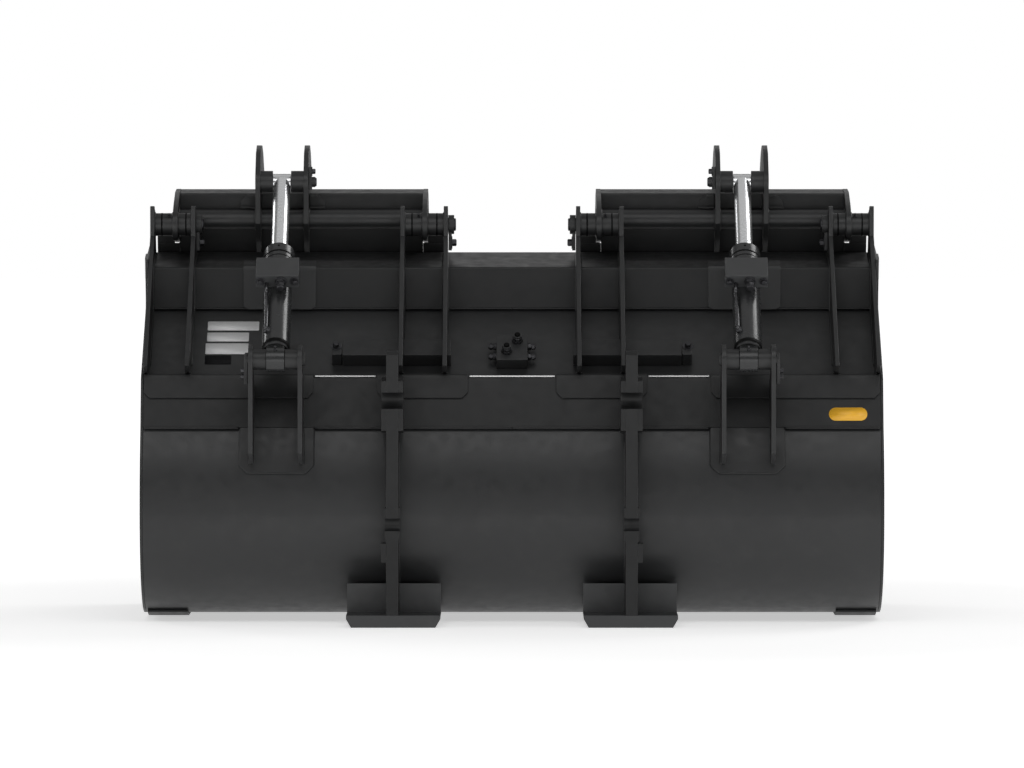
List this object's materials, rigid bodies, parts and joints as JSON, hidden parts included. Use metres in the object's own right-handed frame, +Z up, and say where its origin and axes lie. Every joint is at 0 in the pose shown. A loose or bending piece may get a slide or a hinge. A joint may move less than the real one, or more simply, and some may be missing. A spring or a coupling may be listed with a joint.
{
  "type": "loader grapple bucket",
  "caption": "Wheel loader bucket with independent hydraulic top clamps, for scooping and gripping loose or bulky material on farms and yards.",
  "frame": {"origin": "on the ground, under the middle of the object's bounding box", "axes": "+Z up, +Y towards the bucket's mouth, +X to the right as seen from behind"},
  "size_m": [2.7766, 1.6274, 1.7649],
  "materials": {
    "black_paint": "satin",
    "edge_steel": "satin, worn",
    "rod_chrome": "polished"
  },
  "bodies": {
    "bucket": {"base_pin_left": "black_paint", "base_pin_right": "black_paint", "beam_doubler_inner_left": "black_paint", "beam_doubler_inner_right": "black_paint", "beam_doubler_outer_left": "black_paint", "beam_doubler_outer_right": "black_paint", "coupler_foot_left": "black_paint", "coupler_foot_right": "black_paint", "coupler_hook_left": "black_paint", "coupler_hook_right": "black_paint", "cutting_edge": "edge_steel", "cylinder_clevis_left": "black_paint", "cylinder_clevis_right": "black_paint", "hinge_ear_left_1": "black_paint", "hinge_ear_left_2": "black_paint", "hinge_ear_left_3": "black_paint", "hinge_ear_left_4": "black_paint", "hinge_ear_right_1": "black_paint", "hinge_ear_right_2": "black_paint", "hinge_ear_right_3": "black_paint", "hinge_ear_right_4": "black_paint", "hinge_pin_inner_left": "black_paint", "hinge_pin_inner_right": "black_paint", "hinge_pin_outer_left": "black_paint", "hinge_pin_outer_right": "black_paint", "hose_guard_left": "black_paint", "hose_guard_right": "black_paint", "lower_beam": "black_paint", "shell": "black_paint", "side_cutter_left": "edge_steel", "side_cutter_right": "edge_steel", "side_plate_left": "black_paint", "side_plate_right": "black_paint", "upper_beam": "black_paint", "valve_block": "black_paint"},
    "clamp_left": {"channel_left": "black_paint", "claw_inner_left": "black_paint", "claw_outer_left": "black_paint", "cross_bar_left": "black_paint", "deck_left": "black_paint", "rod_pin_left": "black_paint", "side_tine_inner_left": "black_paint", "side_tine_outer_left": "black_paint", "torque_tube_left": "black_paint"},
    "barrel_left": {"barrel_left": "black_paint", "port_block_left": "black_paint"},
    "rod_left": {"rod_left": "rod_chrome"},
    "clamp_right": {"channel_right": "black_paint", "claw_inner_right": "black_paint", "claw_outer_right": "black_paint", "cross_bar_right": "black_paint", "deck_right": "black_paint", "rod_pin_right": "black_paint", "side_tine_inner_right": "black_paint", "side_tine_outer_right": "black_paint", "torque_tube_right": "black_paint"},
    "barrel_right": {"barrel_right": "black_paint", "port_block_right": "black_paint"},
    "rod_right": {"rod_right": "rod_chrome"}
  },
  "joints": [
    {"name": "clamp_left_hinge", "type": "hinge", "parent": "bucket", "child": "clamp_left", "pos_m": [-0.868, 0.02126, 1.467], "axis": [1, 0, 0], "range_deg": [0, 76]},
    {"name": "cylinder_left_pivot", "type": "hinge", "parent": "bucket", "child": "barrel_left", "pos_m": [-0.868, -0.75874, 0.983], "axis": [1, 0, 0], "range_deg": [0, 3.67]},
    {"name": "rod_left_slide", "type": "slide", "parent": "barrel_left", "child": "rod_left", "axis": [0, 0.7865, 0.6177], "range_m": [-0.1974, 0]},
    {"name": "clamp_right_hinge", "type": "hinge", "parent": "bucket", "child": "clamp_right", "pos_m": [0.868, 0.02126, 1.467], "axis": [1, 0, 0], "range_deg": [0, 76]},
    {"name": "cylinder_right_pivot", "type": "hinge", "parent": "bucket", "child": "barrel_right", "pos_m": [0.868, -0.75874, 0.983], "axis": [1, 0, 0], "range_deg": [0, 3.67]},
    {"name": "rod_right_slide", "type": "slide", "parent": "barrel_right", "child": "rod_right", "axis": [0, 0.7865, 0.6177], "range_m": [-0.1974, 0]}
  ],
  "couplings": [
    {"joint": "cylinder_left_pivot", "follows": "clamp_left_hinge", "ratio": 0.044295},
    {"joint": "rod_left_slide", "follows": "clamp_left_hinge", "m_per_rad": -0.14733},
    {"joint": "cylinder_right_pivot", "follows": "clamp_right_hinge", "ratio": 0.044295},
    {"joint": "rod_right_slide", "follows": "clamp_right_hinge", "m_per_rad": -0.14733}
  ]
}
